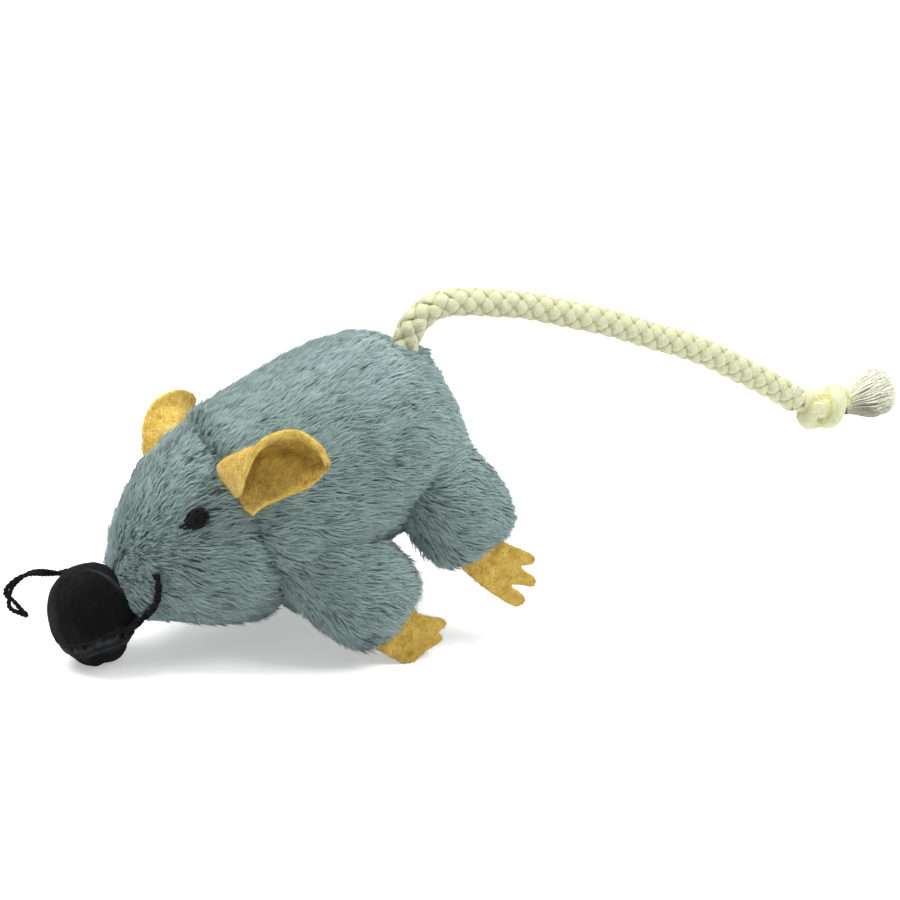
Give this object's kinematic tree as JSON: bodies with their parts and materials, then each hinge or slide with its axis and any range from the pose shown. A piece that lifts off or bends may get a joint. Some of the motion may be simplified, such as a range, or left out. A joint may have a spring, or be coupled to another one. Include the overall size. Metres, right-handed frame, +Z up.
{
  "type": "mouse cat toy",
  "caption": "Plush mouse cat toy with felt ears and feet, a velvet ball nose, stitched yarn mouth and a braided rope tail ending in a knot and a frayed tuft.",
  "frame": {"origin": "bottom centre of the mouse's box without its tail rope and loose yarn, on the surface it rests on", "axes": "+Z up, the mouse looks towards -X, its tail leaves towards +X, its right side is towards +Y"},
  "size_m": [0.2058, 0.0672, 0.0708],
  "materials": {
    "plush": "short combed grey-green plush",
    "felt": "mottled mustard wool felt",
    "velvet": "matt black velvet",
    "black_yarn": "matt two-ply yarn",
    "rope": "cream braided cotton"
  },
  "bodies": {
    "plush": {"body": "plush", "head": "plush", "front_leg_left": "plush", "front_leg_right": "plush", "hind_leg_left": "plush", "hind_leg_right": "plush", "nose": "velvet", "eye_left": "black_yarn", "eye_right": "black_yarn", "mouth_yarn": "black_yarn", "mouth_knot": "black_yarn", "yarn_end": "black_yarn"},
    "tail": {"tail_rope": "rope", "tail_knot": "rope", "tail_tuft": "rope"},
    "ear_left": {"ear_left": "felt"},
    "ear_right": {"ear_right": "felt"},
    "front_foot_left": {"front_foot_left": "felt"},
    "front_foot_right": {"front_foot_right": "felt"},
    "hind_foot_left": {"hind_foot_left": "felt"},
    "hind_foot_right": {"hind_foot_right": "felt"}
  },
  "joints": [
    {"name": "tail_swing", "type": "hinge", "parent": "plush", "child": "tail", "pos_m": [0.03092, -0.00454, 0.06091], "axis": [0, 0, 1], "range_deg": [-60, 60], "stiffness_Nm_per_rad": 0.005},
    {"name": "ear_left_fold", "type": "hinge", "parent": "plush", "child": "ear_left", "pos_m": [-0.01357, -0.01692, 0.0425], "axis": [0.2695, -0.6946, -0.667], "range_deg": [-4, 40], "stiffness_Nm_per_rad": 0.001},
    {"name": "ear_right_fold", "type": "hinge", "parent": "plush", "child": "ear_right", "pos_m": [-0.01225, 0.01056, 0.03925], "axis": [0.3179, 0.5288, -0.7869], "range_deg": [-12, 25], "stiffness_Nm_per_rad": 0.001},
    {"name": "front_foot_left_bend", "type": "hinge", "parent": "plush", "child": "front_foot_left", "pos_m": [0.01928, -0.02894, 0.00832], "axis": [0.9272, 0, 0.3746], "range_deg": [-20, 20], "stiffness_Nm_per_rad": 0.02},
    {"name": "front_foot_right_bend", "type": "hinge", "parent": "plush", "child": "front_foot_right", "pos_m": [0.01928, 0.01986, 0.00832], "axis": [0.9272, 0, 0.3746], "range_deg": [-20, 20], "stiffness_Nm_per_rad": 0.02},
    {"name": "hind_foot_left_bend", "type": "hinge", "parent": "plush", "child": "hind_foot_left", "pos_m": [0.03868, -0.02894, 0.0209], "axis": [0.9272, 0, 0.3746], "range_deg": [-20, 20], "stiffness_Nm_per_rad": 0.02},
    {"name": "hind_foot_right_bend", "type": "hinge", "parent": "plush", "child": "hind_foot_right", "pos_m": [0.03868, 0.01986, 0.0209], "axis": [0.9272, 0, 0.3746], "range_deg": [-20, 20], "stiffness_Nm_per_rad": 0.02}
  ]
}
